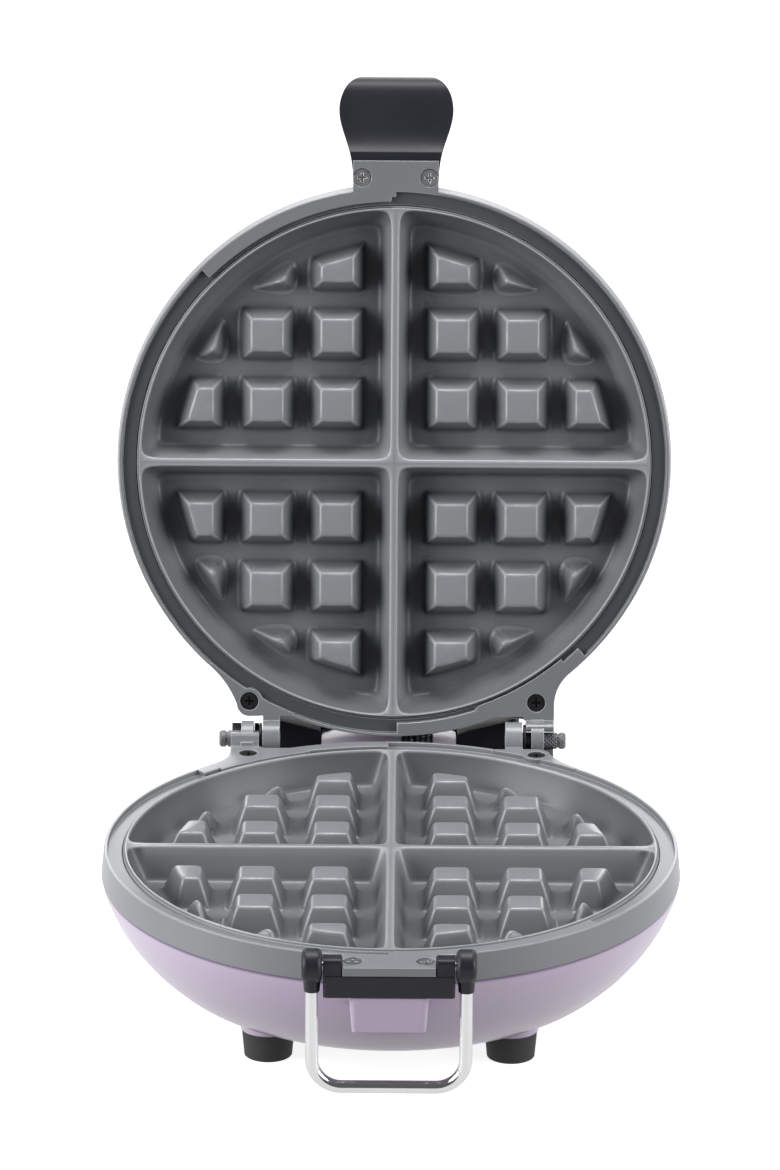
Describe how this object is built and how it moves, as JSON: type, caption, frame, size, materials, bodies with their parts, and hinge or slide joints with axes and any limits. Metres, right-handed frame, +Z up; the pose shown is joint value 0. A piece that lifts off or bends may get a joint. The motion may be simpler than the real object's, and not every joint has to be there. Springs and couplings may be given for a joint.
{
  "type": "belgian waffle maker",
  "caption": "Round deep-pocket waffle maker with a lid hinged behind, a swinging bail in front, a browning dial and a rear stand.",
  "frame": {"origin": "on the table, under the middle of the outer box of the machine with its lid open", "axes": "+Z up, +Y from the front tongue to the hinge, +X to the right as seen from the front"},
  "size_m": [0.2024, 0.305, 0.2938],
  "materials": {
    "coated_grey": "satin non-stick coating on cast aluminium",
    "lilac": "smooth satin enamel",
    "steel": "plain steel",
    "polished_steel": "polished",
    "bright_sheet": "bright sheet",
    "heater_sheath": "heat-stained sheath",
    "black_screw": "black oxide",
    "black_plastic": "fine matte",
    "rubber": "matte",
    "dial_plastic": "satin",
    "white_ceramic": "unglazed",
    "red_lens": "tinted",
    "green_lens": "tinted",
    "clear_glass": "clear",
    "sleeve": "woven glass sleeve",
    "lead": "silicone cover"
  },
  "bodies": {
    "base": {"base_plate": "coated_grey", "base_frame": "coated_grey", "base_shell": "lilac", "base_heater": "heater_sheath", "base_reflector": "bright_sheet", "base_plate_screws": "steel", "base_hinge_screws": "black_screw", "base_tongue_screws": "polished_steel", "base_hinge_clip": "black_plastic", "base_hinge_pin": "steel", "bail_block": "black_plastic", "bail_pins": "steel", "rear_stand": "black_plastic", "stand_screws": "black_screw", "stand_pads": "rubber", "rubber_feet": "rubber", "foot_screws": "steel", "cord_gland": "rubber", "terminal_block": "white_ceramic", "base_leads": "lead", "heat_cutout": "steel", "wire_sleeve": "sleeve"},
    "lid": {"lid_plate": "coated_grey", "lid_frame": "coated_grey", "lid_shell": "lilac", "lid_heater": "heater_sheath", "lid_reflector": "bright_sheet", "lid_plate_screws": "steel", "lid_hinge_screws": "black_screw", "lid_tongue_screws": "polished_steel", "lid_hinge_clip": "black_plastic", "lid_hinge_pin": "steel", "lid_grip": "black_plastic", "thermostat": "steel", "power_lens": "red_lens", "ready_lens": "green_lens", "lamp_carrier": "white_ceramic", "lamp_bulbs": "clear_glass"},
    "bail": {"bail": "polished_steel", "bail_knuckles": "black_plastic"},
    "dial": {"dial": "dial_plastic", "dial_spindle": "steel"}
  },
  "joints": [
    {"name": "lid_hinge", "type": "hinge", "parent": "base", "child": "lid", "pos_m": [0, 0.06103, 0.0622], "axis": [1, 0, 0], "range_deg": [0, 102.6], "deforming": ["wire_sleeve"]},
    {"name": "bail_swing", "type": "hinge", "parent": "base", "child": "bail", "pos_m": [0, -0.14677, 0.0614], "axis": [-1, 0, 0], "range_deg": [-12, 195]},
    {"name": "dial_turn", "type": "hinge", "parent": "lid", "child": "dial", "pos_m": [0, 0.14188, 0.14793], "axis": [0, 0.9759, -0.2181], "range_deg": [0, 270]}
  ]
}
